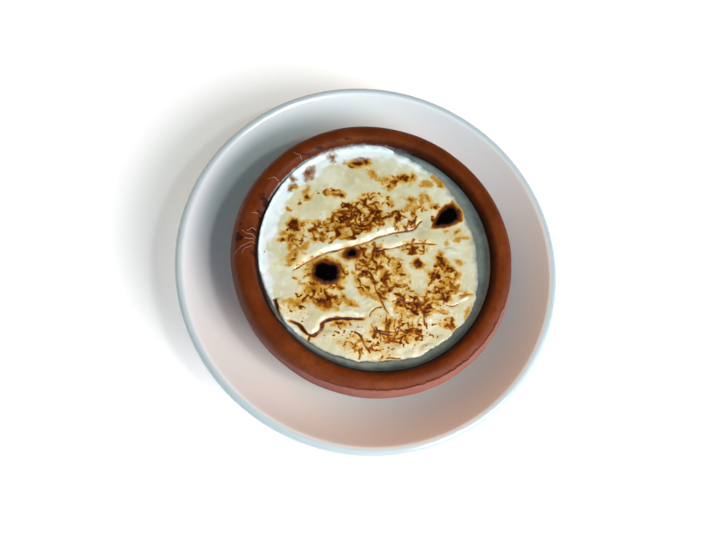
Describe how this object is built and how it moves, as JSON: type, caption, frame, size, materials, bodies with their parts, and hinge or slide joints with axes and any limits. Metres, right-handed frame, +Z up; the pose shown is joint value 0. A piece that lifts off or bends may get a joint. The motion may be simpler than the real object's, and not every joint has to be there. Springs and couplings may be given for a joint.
{
  "type": "baked rice pudding in a clay bowl on a saucer",
  "caption": "Oven-baked rice pudding with a wrinkled, scorched skin, in a thick-lipped glazed clay bowl standing on a deep white saucer.",
  "frame": {"origin": "on the table, under the centre of the saucer's foot ring", "axes": "+Z up; X and Y level, with the longest fold of the skin running from -X -Y to +X +Y"},
  "size_m": [0.175, 0.175, 0.0506],
  "materials": {
    "white_glaze": "glossy glazed porcelain",
    "fired_clay": "brown glaze over the lip and inside, raw matt clay below",
    "baked_milk": "cream skin browned and burnt in spots, slightly wet at the edge"
  },
  "bodies": {
    "root": {"saucer": "white_glaze", "clay_bowl": "fired_clay", "pudding": "baked_milk"}
  },
  "joints": []
}
